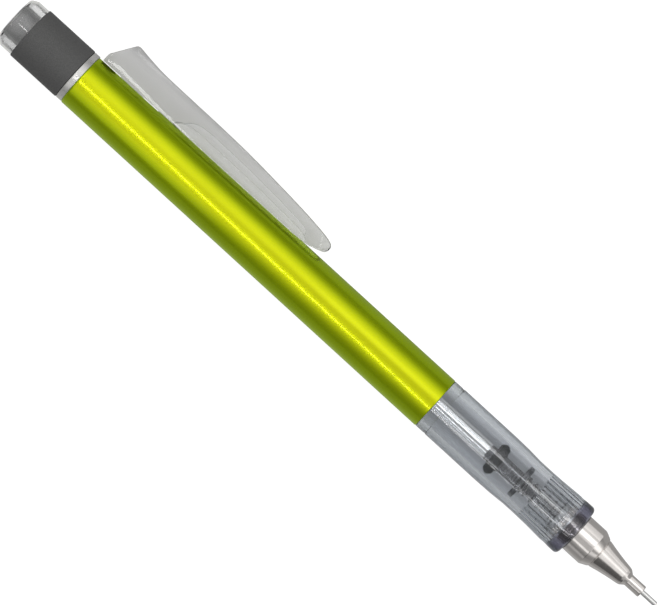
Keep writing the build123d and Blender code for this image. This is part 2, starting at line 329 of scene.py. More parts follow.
class Material(Graph):
    """Material with one Principled shader, textured in object space."""

    def __init__(self, name):
        self.block = bpy.data.materials.new(name)
        super().__init__(self.block, "ShaderNodeOutputMaterial")
        self.bsdf = self.add("ShaderNodeBsdfPrincipled")
        self.put(self.bsdf.outputs[0], self.out.inputs["Surface"])

    def set(self, **inputs):
        for name, value in inputs.items():
            self.put(value, self.bsdf.inputs[name.replace("_", " ")])

    def coords(self, stretch=(1, 1, 1), shift=(0, 0, 0)):
        return self.add("ShaderNodeMapping", {
            "Scale": stretch, "Location": shift,
            "Vector": self.coord.outputs["Object"]}).outputs[0]

    def noise(self, scale, detail=3.0, rough=0.5, stretch=(1, 1, 1), shift=(0, 0, 0)):
        return self.add("ShaderNodeTexNoise", {
            "Scale": scale, "Detail": detail, "Roughness": rough,
            "Vector": self.coords(stretch, shift)}).outputs["Fac"]

    def bump(self, height, depth):
        normal = self.add("ShaderNodeBump", {
            "Distance": depth, "Strength": 1.0, "Height": height}).outputs[0]
        self.set(Normal=normal)
        return normal

    def axis(self, index):
        return self.split(self.coord.outputs["Object"])[index]

    def facing(self):
        return self.add("ShaderNodeLayerWeight", {"Blend": 0.5}).outputs["Facing"]

    def blend_surface(self, factor, first, second):
        """Mixes two shaders and makes the result the surface."""
        mixed = self.add("ShaderNodeMixShader", {0: factor, 1: first, 2: second}).outputs[0]
        self.put(mixed, self.out.inputs["Surface"])
        return mixed

    def see_through(self, absorb, shadow):
        """Refraction with absorption inside (per metre, RGB), and tinted light let through
        to what is behind."""
        self.set(Transmission_Weight=1.0, IOR=1.49)
        clear = self.add("ShaderNodeBsdfTransparent", {0: shadow}).outputs[0]
        is_shadow = self.add("ShaderNodeLightPath").outputs["Is Shadow Ray"]
        surface = self.blend_surface(is_shadow, self.bsdf.outputs[0], clear)
        density = max(absorb) * 1.25
        volume = self.add("ShaderNodeVolumeAbsorption", {
            "Density": density, "Color": [1 - a / density for a in absorb]})
        self.put(volume.outputs[0], self.out.inputs["Volume"])
        return surface

    def mould_ripple(self, gloss_scale, rough, ripple_scale):
        """Uneven gloss and slow waves of a clear moulding."""
        self.set(Roughness=self.remap(self.noise(gloss_scale), given=(0.35, 0.75), to=rough))
        self.bump(self.noise(ripple_scale, detail=2.0), depth=0.000012)


# ===========================================================================
# materials
# ===========================================================================
def lime_paint():
    mat = Material("lime_metallic_paint")
    # pigment: yellow-lime square on, greener as the surface turns away
    hue = mat.ramp(mat.facing(), [
        (0.0, (0.650, 0.690, 0.0040)), (0.04, (0.625, 0.690, 0.0030)),
        (0.085, (0.575, 0.685, 0.0020)), (0.15, (0.520, 0.675, 0.0015)),
        (0.26, (0.465, 0.655, 0.0010)), (1.0, (0.440, 0.620, 0.0100))])
    flake = mat.add("ShaderNodeTexVoronoi", {"Scale": 14000, "Vector": mat.coords()})
    channels = mat.add("ShaderNodeSeparateColor", {0: flake.outputs["Color"]})
    spark = mat.remap(channels.outputs[0], given=(0, 1), to=(0.95, 1.04))
    cloud = mat.remap(mat.noise(scale=160), to=(0.975, 1.02))
    colour = mat.mix(1.0, mat.mix(1.0, hue, spark, "MULTIPLY"), cloud, "MULTIPLY")
    mat.set(Base_Color=colour, Metallic=1.0, Coat_Weight=0.30, Coat_Roughness=0.08,
            Coat_IOR=1.5, Roughness=mat.remap(mat.noise(scale=2600), to=(0.36, 0.42)))
    peel = mat.bump(mat.noise(scale=700, detail=2.0), depth=0.0000012)
    # second, tighter lobe: the polished metal under the tint
    gloss = mat.add("ShaderNodeBsdfGlossy", {"Roughness": 0.20, "Color": colour, "Normal": peel})
    tight_share = 0.38
    mat.blend_surface(tight_share, mat.bsdf.outputs[0], gloss.outputs[0])
    return mat.block


def smoke_plastic():
    mat = Material("smoke_clear_plastic")
    mat.see_through(absorb=(128, 112, 102), shadow=(0.90, 0.91, 0.93))
    # the thick front collar is tinted darker and a touch more violet; darker still away from the
    # axis is painted shade
    collar = mat.remap(mat.axis(0), given=((GRIP_FRONT - 2.3) * MM, (GRIP_FRONT - 1.9) * MM))
    away = mat.remap(mat.math("ABSOLUTE", mat.axis(1)), given=(0.0024, 0.0037))
    dense = mat.mix(away, (0.58, 0.56, 0.59), (0.32, 0.29, 0.38))
    mat.set(Base_Color=mat.mix(collar, (0.985, 0.985, 1.0), dense))
    mat.mould_ripple(gloss_scale=900, rough=(0.015, 0.07), ripple_scale=140)
    return mat.block


CLEAR_SHADOW = (0.9, 0.9, 0.9)


def clip_plastic():
    mat = Material("clear_plastic")
    mat.see_through(absorb=(54, 55, 54), shadow=CLEAR_SHADOW)
    # painted shade: faces turned to +Y are darker, and so is the high crown of the arm
    normal = mat.add("ShaderNodeNewGeometry").outputs["True Normal"]
    outward = mat.remap(mat.split(normal)[1], given=(0.06, 0.45))
    crown = mat.ramp(mat.remap(mat.axis(1), given=(0.0082, 0.0102)), [
        (0.0, 0.985), (0.35, 0.95), (0.6, 0.86), (0.9, 0.70), (1.0, 0.66)])
    mat.set(Base_Color=mat.mix(outward, crown, (0.52, 0.52, 0.51)))
    mat.mould_ripple(gloss_scale=1100, rough=(0.02, 0.07), ripple_scale=170)
    return mat.block


def collar_plastic():
    mat = Material("clear_collar_plastic")
    surface = mat.see_through(absorb=(26, 25, 26), shadow=CLEAR_SHADOW)
    # painted shade: a darker band across the wall by distance from the axis along Y, light again
    # at the centre and at the rim
    from_axis = mat.math("ABSOLUTE", mat.axis(1))
    mat.set(Base_Color=mat.ramp(mat.remap(from_axis, given=(0.0028, 0.0045)), [
        (0.0, 0.985), (0.12, 0.60), (0.40, 0.55), (0.75, 0.88), (1.0, 0.985)]))
    # turned away from the eye the wall thins out to the white behind it
    thin = mat.add("ShaderNodeBsdfTransparent", {0: (0.86, 0.86, 0.85)}).outputs[0]
    thinning = mat.ramp(mat.facing(), [(0.0, 0.0), (0.42, 0.0), (0.62, 0.80), (1.0, 0.92)])
    mat.blend_surface(thinning, surface, thin)
    mat.mould_ripple(gloss_scale=1100, rough=(0.07, 0.13), ripple_scale=170)
    return mat.block


def turned_metal(name, base, rough, depth=0.0000008):
    """Metal with fine turning lines: noise drawn out round the axis, dense along it."""
    mat = Material(name)
    fine = mat.noise(scale=1.0, detail=2.0, rough=0.6, stretch=(9000, 240, 240))
    coarse = mat.noise(scale=1.0, detail=2.0, stretch=(2200, 60, 60), shift=(3, 1, 2))
    fine_share, coarse_share = 0.6, 0.4
    lines = mat.math("ADD", mat.math("MULTIPLY", fine, fine_share),
                     mat.math("MULTIPLY", coarse, coarse_share))
    mat.bump(lines, depth)
    tone = mat.remap(mat.noise(scale=420), to=(0.95, 1.03))
    mat.set(Metallic=1.0, Roughness=mat.remap(lines, to=rough),
            Base_Color=mat.mix(1.0, base, tone, "MULTIPLY"))
    return mat.block


def knob_plastic():
    mat = Material("grained_grey_plastic")
    grain = mat.noise(scale=7000, detail=4.0, rough=0.65)
    spots = mat.noise(scale=2600, detail=2.0)
    colour = mat.ramp(grain, [
        (0.30, (0.062, 0.062, 0.062)), (0.62, (0.105, 0.105, 0.103)),
        (0.85, (0.138, 0.138, 0.134))])
    mat.set(Base_Color=colour, Roughness=mat.remap(spots, to=(0.52, 0.70)),
            Specular_IOR_Level=0.45)
    mat.bump(grain, depth=0.000022)
    return mat.block


def plastic(name, dark, light, rough, **values):
    """Moulded plastic: slow colour variation, faint flow texture, uneven gloss."""
    mat = Material(name)
    mat.set(Base_Color=mat.ramp(mat.noise(scale=300), [(0.3, dark), (0.7, light)]),
            Roughness=mat.remap(mat.noise(scale=1400), to=rough), **values)
    mat.bump(mat.noise(scale=1400, rough=0.6), depth=0.000003)
    return mat.block


def grained(name, grain, dark, light, rough, depth, dark_at=0.3, **values):
    """One noise drives colour, roughness and relief; grain holds its settings."""
    mat = Material(name)
    noise = mat.noise(**grain)
    mat.set(Base_Color=mat.ramp(noise, [(dark_at, dark), (0.7, light)]),
            Roughness=mat.remap(noise, to=rough), **values)
    mat.bump(noise, depth)
    return mat.block


def floor_paper():
    """White sweep; seen through clear parts or mirrored in them it reads as a grey table."""
    mat = Material("studio_floor")
    ray = mat.add("ShaderNodeLightPath").outputs
    camera, through = ray["Is Camera Ray"], ray["Is Transmission Ray"]
    other = mat.chain("SUBTRACT", 1.0, camera, through)
    paper = mat.remap(mat.noise(scale=6), to=(0.985, 1.015))
    y = mat.axis(1)
    # painted shadow of the pipe on the paper below it, seen through the clear parts; lifted
    # overall, and painted lighter still behind the barrel
    shade_gain = 1.28
    shade_ramp = mat.ramp(mat.remap(y, given=(-0.005, 0.010)), [
        (0.0, 0.80), (0.11, 0.78), (0.19, 0.68), (0.27, 0.56), (0.40, 0.44), (0.47, 0.42),
        (0.53, 0.54), (0.61, 0.78), (0.66, 0.84), (0.76, 1.0), (1.0, 1.0)])
    rear_painted_lift = mat.remap(mat.axis(0), given=(-0.1446, -0.1436), to=(1.45, 1.0))
    under = mat.chain("MULTIPLY", shade_ramp, shade_gain, rear_painted_lift)
    # painted light: mirrored in the pieces the floor is lighter in a band along Y, as if one
    # side of the room were lighter
    side_gain = 2.0
    side = mat.math("MULTIPLY", mat.ramp(mat.remap(y, given=(-0.03, 0.02)), [
        (0.0, 0.48), (0.26, 0.56), (0.36, 0.66), (0.43, 0.84), (0.50, 0.62), (0.60, 0.58),
        (1.0, 0.60)]), side_gain)

    def by_ray(to_camera, to_through, to_other):
        return mat.chain("ADD", mat.math("MULTIPLY", camera, to_camera),
                         mat.chain("MULTIPLY", through, to_through, under),
                         mat.chain("MULTIPLY", other, to_other, side))

    # the painted shadow and painted light above set both colour and glow of the paper seen
    # through or mirrored in the pieces; the camera sees it evenly white
    albedo = by_ray(to_camera=0.30, to_through=0.62, to_other=0.16)
    mat.set(Base_Color=mat.mix(1.0, mat.math("MULTIPLY", albedo, paper), 1.0, "MULTIPLY"),
            Roughness=0.95, Specular_IOR_Level=0.0, Emission_Color=1.0,
            Emission_Strength=by_ray(to_camera=0.92, to_through=0.14, to_other=0.24))
    return mat.block


LIME = lime_paint()
SMOKE = smoke_plastic()
CLEAR = clip_plastic()
NICKEL = turned_metal("nickel_plate", base=(0.68, 0.650, 0.625), rough=(0.13, 0.19))
STEEL = turned_metal("drawn_steel", base=(0.66, 0.66, 0.65), rough=(0.16, 0.30),
                     depth=0.0000010)
COLLAR = collar_plastic()
KNOB = knob_plastic()
RUBBER = grained("black_rubber", grain=dict(scale=5200, detail=4.0, rough=0.7),
                 dark=0.008, light=0.022, rough=(0.5, 0.78), depth=0.000010)
ERASER = grained("white_vinyl_eraser", grain=dict(scale=2400, detail=5.0, rough=0.7),
                 dark=(0.78, 0.78, 0.75), light=(0.88, 0.88, 0.86), dark_at=0.25,
                 rough=(0.65, 0.9), depth=0.000016,
                 Subsurface_Weight=0.15, Subsurface_Scale=0.0008)
GRAPHITE = grained("graphite_lead", grain=dict(scale=1.0, rough=0.6, stretch=(900, 6000, 6000)),
                   dark=(0.035, 0.035, 0.038), light=(0.085, 0.085, 0.090),
                   rough=(0.32, 0.5), depth=0.000002, Metallic=0.35)
RING = plastic("satin_white_ring", dark=(0.66, 0.65, 0.63), light=(0.72, 0.71, 0.69),
               rough=(0.24, 0.34), Metallic=0.75)
WHITE = plastic("white_moulding", dark=(0.76, 0.75, 0.72), light=(0.83, 0.82, 0.79),
                rough=(0.28, 0.42), Subsurface_Weight=0.1, Subsurface_Scale=0.0006)
GREY = plastic("grey_moulding", dark=0.24, light=0.32, rough=(0.35, 0.5))
DARK = turned_metal("dark_plated", base=(0.10, 0.10, 0.103), rough=(0.22, 0.32))
WIRE = turned_metal("spring_wire", base=(0.19, 0.19, 0.192), rough=(0.24, 0.34))
PIPE = turned_metal("bright_pipe", base=(0.62, 0.62, 0.61), rough=(0.20, 0.24),
                    depth=0.0000004)


def dress(piece, material, body, node):
    """Gives a piece its material, the body it moves with, and the CAD node it replaces."""
    piece.data.materials.clear()
    piece.data.materials.append(material)
    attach(piece, body)
    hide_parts(node)


# ===========================================================================
# turned pieces: each profile row is x, radius[, fillet] in mm
# ===========================================================================
BARREL_BORE = 4.45
KNOB_BORE = 3.21        # shared by the knob and its collar

# -- barrel: a narrow land inside, and a slot at the rear on the clip side ----
WEB_REAR, WEB_FRONT, WEB_BORE = -76.6, -74.6, 1.60
SLOT_FRONT, SLOT_HALF = -118.95, 1.6
barrel = lathe("lime_barrel", [
    (BARREL_FRONT, BARREL_BORE, 0.05), (BARREL_FRONT, BARREL_R, 0.16),
    (BARREL_REAR, BARREL_R, 0.26), (BARREL_REAR, BARREL_BORE, 0.05),
    (WEB_REAR, BARREL_BORE, 0.3), (WEB_REAR, WEB_BORE, 0.1),
    (WEB_FRONT, WEB_BORE, 0.1), (WEB_FRONT, BARREL_BORE, 0.3)], segs=200)
slot_cutter = loft("slot_cutter", [
    [(x, 3.0, -SLOT_HALF), (x, 7.0, -SLOT_HALF), (x, 7.0, SLOT_HALF), (x, 3.0, SLOT_HALF)]
    for x in (BARREL_REAR - 2, SLOT_FRONT)])
barrel = boolean(barrel, slot_cutter, "DIFFERENCE")
dress(barrel, LIME, "pencil_body", "barrel")

# -- tail ring ------------------------------------------------------------------
RING_BORE, RING_SPIGOT = 3.86, 4.44
tail_ring = lathe("white_tail_ring", [
    (RING_REAR, RING_BORE, 0.05), (RING_REAR, RING_R, 0.14), (BARREL_REAR, RING_R, 0.16),
    (BARREL_REAR, RING_SPIGOT, 0.02), (RING_FRONT, RING_SPIGOT, 0.15),
    (RING_FRONT, RING_BORE, 0.05)])
dress(tail_ring, RING, "pencil_body", "tail_ring")

# -- grip: waisted outside, ribbed in the front part of its bore ----------------
RIBS = 24
RIB_HEIGHT = 0.18
RIB_HALF, RIB_FLANK = 0.14, 0.08        # in rib pitches


def ribbed(x, r, angle):
    """Raises the ribs inwards from the bore."""
    if not (GRIP_FRONT - 9.15 < x < GRIP_FRONT - 2.32) or r > 3.9:
        return r
    turn = (angle * RIBS / (2 * math.pi)) % 1.0
    off = min(turn, 1 - turn)
    share = 1.0 if off < RIB_HALF else max(0.0, 1 - (off - RIB_HALF) / RIB_FLANK)
    return r - RIB_HEIGHT * share


def from_grip_front(rows):
    return [(GRIP_FRONT - behind, *rest) for behind, *rest in rows]


# distance behind the grip's front, radius, fillet
GRIP_OUTSIDE = [
    (0, 3.42, 0.08), (0, 5.04, 0.85), (1.9, 5.03, 1.2), (2.8, 4.95, 1.2), (3.9, 4.99, 1.5),
    (7.2, 4.83, 4.0), (10.0, 4.77, 5.0), (12.4, 4.78, 5.0), (15.2, 4.95, 3.0),
    (18.6, 5.02, 6.0), (29.95, 5.03, 0.06), (30.08, 4.95, 0.05), (30.28, 4.95, 0.05),
    (30.42, 5.0, 0.06)]
# bore from rear to front; the unrounded points give the ribs their stations
GRIP_BORE = [
    (9.30, 3.68), (9.14, 3.68), (9.0, 3.68), (6.5, 3.68), (4.5, 3.68), (2.34, 3.68),
    (2.30, 3.68), (2.0, 3.06, 0.1), (0.26, 3.06, 0.04), (0.26, 3.42, 0.04)]
grip = lathe("smoke_grip", from_grip_front(GRIP_OUTSIDE) + [
    (BARREL_FRONT + 0.02, 5.0, 0.10), (BARREL_FRONT + 0.02, 4.42, 0.04),
    (GRIP_REAR + 0.3, 4.42, 0.1), (GRIP_REAR, 4.25, 0.1), (GRIP_REAR, 3.68, 0.1),
] + from_grip_front(GRIP_BORE), segs=240, reshape=ribbed, steps=6, sharp=30)
dress(grip, SMOKE, "pencil_body", "grip")

# -- nose cone, with ridges round the spigot inside the grip --------------------
RIDGES, RIDGE_PITCH = 6, 0.5
RIDGE_ROOT, RIDGE_CREST = 2.82, 2.99
nose_profile = [
    (NOSE_FRONT, 0.62, 0.02), (NOSE_FRONT, 1.12, 0.17), (-7.10, 1.12, 0.06),
    (-7.78, 1.66, 0.10), (-8.25, 1.80, 0.3), (-9.45, 1.97, 2.0), (-10.8, 2.20, 2.0),
    (-12.1, 2.46, 2.0), (-13.0, 2.66, 1.5), (-13.66, 2.80, 0.03), (-13.80, 2.72, 0.05),
    (-13.92, 2.94, 0.05), (-14.10, 3.04, 0.10), (-14.72, 3.34, 0.5), (-15.25, 3.58, 0.06),
    (-15.33, 3.60, 0.04), (GRIP_FRONT + 0.1, 3.60, 0.12), (GRIP_FRONT + 0.1, 3.30, 0.03),
    (GRIP_FRONT - 0.1, 3.30, 0.03), (GRIP_FRONT - 0.1, RIDGE_ROOT, 0.03)]
for k in range(RIDGES):
    x = GRIP_FRONT - 0.45 - RIDGE_PITCH * k
    nose_profile += [(x, RIDGE_ROOT), (x - 0.14, RIDGE_CREST, 0.02),
                     (x - 0.24, RIDGE_CREST, 0.02), (x - 0.38, RIDGE_ROOT)]
nose_profile += [
    (NOSE_REAR, RIDGE_ROOT, 0.05), (NOSE_REAR, 2.42, 0.03), (-15.38, 2.42), (-15.38, 2.15),
    (-12.42, 2.15), (-12.42, 1.38), (-8.80, 1.38), (-8.80, 1.18), (-7.60, 1.18), (-7.60, 0.62)]
nose = lathe("plated_nose_cone", nose_profile, steps=3, sharp=30)
dress(nose, NICKEL, "pencil_body", "nose_cone")

# -- lead sleeve ----------------------------------------------------------------
sleeve = lathe("steel_lead_sleeve", [
    (SLEEVE_REAR, 0.31, 0.02), (SLEEVE_REAR, 0.62, 0.04), (NOSE_FRONT, 0.62, 0.02),
    (NOSE_FRONT, 0.46, 0.01), (SLEEVE_FRONT, 0.46, 0.07), (SLEEVE_FRONT, 0.31, 0.03)], segs=96)
dress(sleeve, STEEL, "pencil_body", "lead_sleeve")

# -- knob -----------------------------------------------------------------------
knob = lathe("grained_knob", [
    (KNOB_FRONT, KNOB_BORE, 0.05), (KNOB_FRONT, KNOB_R, 0.2),
    (KNOB_REAR, KNOB_R, 0.13), (KNOB_REAR, KNOB_BORE, 0.05)], segs=200)
dress(knob, KNOB, "knob_unit", "eraser_knob")

# -- collar ---------------------------------------------------------------------
collar = lathe("clear_collar", [
    (COLLAR_FRONT, KNOB_BORE, 0.03), (COLLAR_FRONT, COLLAR_R, 0.06),
    (COLLAR_REAR + 1.25, COLLAR_R, 0.6), (COLLAR_REAR + 0.30, 4.42, 0.35),
    (COLLAR_REAR, 4.10, 0.12), (COLLAR_REAR, 3.50, 0.06), (COLLAR_REAR + 0.10, 3.34, 0.06),
    (COLLAR_REAR + 0.30, KNOB_BORE, 0.06)], steps=5, sharp=30)
dress(collar, COLLAR, "knob_unit", "eraser_collar")

# -- lead pipe, connector and cushion ring --------------------------------------
pipe = lathe("bright_lead_pipe", [
    (PIPE_FRONT, 1.15, 0.04), (PIPE_FRONT, 1.46, 0.08),
    (PIPE_REAR, 1.46, 0.08), (PIPE_REAR, 1.15, 0.04)], segs=96)
dress(pipe, PIPE, "feed_unit", "lead_pipe")
connector = lathe("black_connector", [
    (CONNECTOR_FRONT, 0.87, 0.03), (CONNECTOR_FRONT, 1.14, 0.10), (-31.2, 1.14, 0.12),
    (-31.2, 3.0, 0.12), (-32.2, 3.0, 0.12), (-32.2, 1.46, 0.15), (-36.15, 1.46, 0.06),
    (-36.15, 1.86, 0.06), (-36.35, 1.86, 0.06), (-36.35, 1.46, 0.03), (-39.25, 1.46, 0.05),
    (-39.25, 1.14, 0.03), (CONNECTOR_REAR, 1.14, 0.04), (CONNECTOR_REAR, 1.02, 0.02),
    (-42.0, 0.36, 0.1), (-33.55, 0.36), (-33.55, 0.87)], segs=96)
dress(connector, DARK, "feed_unit", "connector")
cushion = lathe("cushion_o_ring", [
    (-38.05, 1.47, 0.05), (-38.2, 2.0, 0.2), (-38.2, 2.45, 0.3), (-37.95, 2.82, 0.3),
    (-37.5, 3.0, 0.3), (-37.1, 3.0, 0.3), (-36.66, 2.82, 0.3), (-36.42, 2.45, 0.3),
    (-36.38, 2.0, 0.2), (-36.45, 1.47, 0.05)], segs=96)
dress(cushion, RUBBER, "feed_unit", "cushion_ring")

# -- shaker weight, with a shallow groove near its front ------------------------
WEIGHT_BORE = 1.62
GROOVE_R = WEIGHT_R - 0.1
weight = lathe("plated_weight", [
    (WEIGHT_FRONT, WEIGHT_BORE, 0.1), (WEIGHT_FRONT, WEIGHT_R, 0.35),
    (WEIGHT_FRONT - 3.2, WEIGHT_R, 0.05), (WEIGHT_FRONT - 3.3, GROOVE_R, 0.05),
    (WEIGHT_FRONT - 3.7, GROOVE_R, 0.05), (WEIGHT_FRONT - 3.8, WEIGHT_R, 0.05),
    (WEIGHT_REAR, WEIGHT_R, 0.35), (WEIGHT_REAR, WEIGHT_BORE, 0.1)], segs=128)
dress(weight, NICKEL, "weight", "shaker_weight")

# -- return spring: one closed coil and a tapered wire at each end --------------
COIL_R, WIRE_R, COILS = 1.66, 0.155, 11
WIRE_SIDES, STEPS_PER_COIL = 14, 40
SPRING_GAP = 0.15


def spring_loops(start, end):
    length = end - start
    closed_share = 2.15 * WIRE_R / length       # of the length, taken by one end coil
    steps = COILS * STEPS_PER_COIL
    loops = []
    for i in range(steps + 1):
        coil = i / steps * COILS
        if coil < 1:
            advance = closed_share * coil
        elif coil > COILS - 1:
            advance = 1 - closed_share * (COILS - coil)
        else:
            advance = closed_share + (1 - 2 * closed_share) * (coil - 1) / (COILS - 2)
        a = 2 * math.pi * coil
        outward = Vector((0, math.cos(a), math.sin(a)))
        centre = Vector((start + length * advance, COIL_R * math.cos(a), COIL_R * math.sin(a)))
        wire = WIRE_R * min(1.0, 0.35 + 0.65 * min(coil, COILS - coil) / 0.25)
        loop = []
        for k in range(WIRE_SIDES):
            b = 2 * math.pi * k / WIRE_SIDES
            loop.append(centre + outward * (wire * math.cos(b))
                        + Vector((1, 0, 0)) * (wire * math.sin(b)))
        loops.append(loop)
    return loops


spring = loft("return_coil_spring",
              spring_loops(SPRING_REAR + SPRING_GAP, SPRING_FRONT - SPRING_GAP), sharp=50)
dress(spring, WIRE, "pencil_body", "return_spring")
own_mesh(spring)


# ===========================================================================
# clip: a lofted arm, hollow underneath; tables are x, then y or half-width (mm)
# ===========================================================================
CLIP_SHARP = 34
arm_top = smooth_curve([
    (-131.60, 6.22), (-131.50, 6.52), (-131.2, 6.98), (-130.6, 7.92), (-130.0, 8.87),
    (-129.4, 9.81), (-129.05, 10.36), (-128.85, 10.58), (-128.6, 10.73), (-128.35, 10.77),
    (-128.0, 10.74), (-126.2, 10.50), (-124.2, 10.28), (-122.2, 10.14), (-117.1, 10.07),
    (-112.0, 10.05), (-108.0, 10.01), (-104.0, 9.92), (-99.9, 9.74), (-95.9, 9.49),
    (-91.8, 9.21), (-88.0, 8.88), (-85.6, 8.61), (-83.9, 8.35), (-82.9, 8.11), (-82.4, 7.90),
    (-82.15, 7.70), (-82.02, 7.50), (-81.97, 7.36)])
arm_bottom = smooth_curve([
    (-131.60, 4.90), (-88.6, 4.90), (-87.6, 4.96), (-86.4, 5.05), (-85.4, 5.15), (-84.8, 5.28),
    (-84.1, 5.50), (-83.2, 5.78), (-82.4, 6.12), (-82.12, 6.40), (-82.02, 6.60),
    (-81.97, 6.74)])
arm_half = smooth_curve([
    (-131.60, 1.90), (-131.52, 2.12), (-131.3, 2.27), (-131.0, 2.30), (-112.0, 2.30),
    (-98.0, 2.12), (-84.9, 1.96), (-83.9, 1.89), (-83.2, 1.74), (-82.6, 1.44), (-82.2, 1.14),
    (-82.02, 0.94), (-81.97, 0.84)])


def arc_points(x, y, z, radius, start, end, steps):
    """Arc across the arm about (y, z), in degrees from +Z towards +Y."""
    points = []
    for k in range(steps + 1):
        a = math.radians(start + (end - start) * k / steps)
        points.append((x, y + radius * math.sin(a), z + radius * math.cos(a)))
    return points


def arm_loop(x):
    """Section from the lower +Z edge, over the slightly crowned top, to the lower -Z edge."""
    top, bottom, half = arm_top(x), arm_bottom(x), arm_half(x)
    height = top - bottom
    upper = min(0.26, 0.45 * height, 0.8 * half)
    lower = min(0.14, 0.3 * height, 0.4 * half)
    middle = bottom + height * 0.5
    flat = half - upper
    return [
        *arc_points(x, bottom + lower, half - lower, lower, -90, 0, 3),
        (x, middle, half),
        *arc_points(x, top - upper, flat, upper, 0, 90, 6),
        (x, top + 0.01, flat * 0.5), (x, top + 0.012, 0), (x, top + 0.01, -flat * 0.5),
        *arc_points(x, top - upper, -flat, upper, 90, 180, 6),
        (x, middle, -half),
        *arc_points(x, bottom + lower, -half + lower, lower, 180, 270, 3),
        (x, bottom, 0)]


def stations(start, stop, step):
    """Running sum, so that rounding decides whether the last station falls short of stop."""
    found = []
    while start < stop:
        found.append(start)
        start += step
    return found


ARM_STATIONS = [
    -131.6, -131.57, -131.5, -131.4, -131.25, -131.1,
    *stations(-130.9, -127.6, 0.15), *stations(-127.4, -86.0, 0.6),
    *stations(-85.8, -83.2, 0.2),
    -83.1, -82.95, -82.8, -82.65, -82.5, -82.38, -82.28, -82.2, -82.13, -82.08, -82.04,
    -82.01, -81.985, -81.97]
clip = loft("clear_clip", [arm_loop(x) for x in ARM_STATIONS], sharp=CLIP_SHARP)

# hollow under the arm: a wide channel, and a narrower, deeper one in its roof
wide_roof = smooth_curve([
    (-115.9, 4.6), (-115.8, 5.15), (-115.4, 5.70), (-114.6, 6.25), (-113.2, 6.62),
    (-111.0, 6.76), (-104.0, 6.78), (-95.9, 6.64), (-91.8, 6.50), (-88.2, 6.28),
    (-86.9, 6.05), (-86.2, 5.70), (-85.9, 5.30), (-85.8, 4.7)])
deep_roof = smooth_curve([
    (-114.5, 5.5), (-114.3, 6.30), (-113.7, 6.95), (-112.7, 7.55), (-111.4, 7.90),
    (-109.0, 8.02), (-104.0, 8.00), (-99.9, 7.88), (-95.9, 7.70), (-91.8, 7.48),
    (-88.6, 7.22), (-87.4, 6.98), (-86.8, 6.60), (-86.6, 5.5)])
# fractions of a channel's length, closer together at its ends
CHANNEL_STATIONS = (
    0, .003, .008, .015, .025, .038, .055, .075, .10, .13, .17, .22, .29, .37, .45, .53, .61,
    .69, .76, .82, .87, .91, .94, .962, .978, .989, .996, 1)


def channel(name, roof, base, half, fillet, rear, front):
    loops = []
    for share in CHANNEL_STATIONS:
        x = rear + (front - rear) * share
        top = max(roof(x), base + 0.02)
        r = min(fillet, 0.45 * (top - base))
        loops.append([
            (x, base, half),
            *arc_points(x, top - r, half - r, r, 0, 90, 4),
            *arc_points(x, top - r, -(half - r), r, 90, 180, 4),
            (x, base, -half)])
    return loft(name, loops)


clip = boolean(clip, channel("wide_cutter", wide_roof, base=4.4, half=1.2, fillet=0.05,
                             rear=-115.9, front=-85.8), "DIFFERENCE", CLIP_SHARP)
clip = boolean(clip, channel("deep_cutter", deep_roof, base=5.2, half=0.7, fillet=0.06,
                             rear=-114.5, front=-86.6), "DIFFERENCE", CLIP_SHARP)
# underside follows the round barrel
SEAT_R = BARREL_R + 0.10
seat = lathe("barrel_cutter", [(-134, 0.0), (-134, SEAT_R), (-80, SEAT_R), (-80, 0.0)],
             segs=256, closed=False)
clip = boolean(clip, seat, "DIFFERENCE", CLIP_SHARP)
# stem through the slot, with its two inner edges chamfered
STEM_HALF, STEM_CHAMFER = 1.5, 0.2
STEM_SECTION = [        # y, z
    (3.99, STEM_HALF - STEM_CHAMFER), (4.3, STEM_HALF), (6.2, STEM_HALF),
    (6.2, -STEM_HALF), (4.3, -STEM_HALF), (3.99, -STEM_HALF + STEM_CHAMFER)]
stem = loft("stem_add", [[(x, y, z) for y, z in STEM_SECTION] for x in (-127.5, -122.5)])
clip = boolean(clip, stem, "UNION", CLIP_SHARP)
# ball under the tip
BALL_R, BALL_CENTRE = 0.82, (-86.0 * MM, 5.92 * MM, 0)
work = bmesh.new()
bmesh.ops.create_uvsphere(work, u_segments=40, v_segments=24, radius=BALL_R * MM,
                          matrix=Matrix.Translation(BALL_CENTRE))
clip = boolean(clip, finish_mesh(work, "ball_add"), "UNION", CLIP_SHARP)
dress(clip, CLEAR, "clip_lever", "clip")

# ===========================================================================
# inner CAD parts: shapes kept, finishes given
# ===========================================================================
for node, material in {
        "lead_retainer": RUBBER, "chuck_sleeve": GREY, "chuck": DARK, "clutch_ring": STEEL,
        "lead": GRAPHITE, "spare_leads": GRAPHITE, "knock_slider": WHITE,
        "eraser_case": WHITE, "case_o_ring": RUBBER, "eraser_spindle": GREY,
        "eraser_holder": WHITE, "eraser": ERASER}.items():
    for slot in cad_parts[node].material_slots:
        slot.link = "OBJECT"
        slot.material = material

# ===========================================================================
# floor (metres from here on)
# ===========================================================================
FLOOR_GAP = 0.00002
work = bmesh.new()
bmesh.ops.create_grid(work, x_segments=8, y_segments=8, size=4.0)
floor = finish_mesh(work, "floor")
floor.location.z = cad_lo.z - FLOOR_GAP
floor.data.materials.append(floor_paper())

# ===========================================================================
# lights
# ===========================================================================
PENCIL_CENTRE = Vector((-0.07605, 0.00038, 0.0))


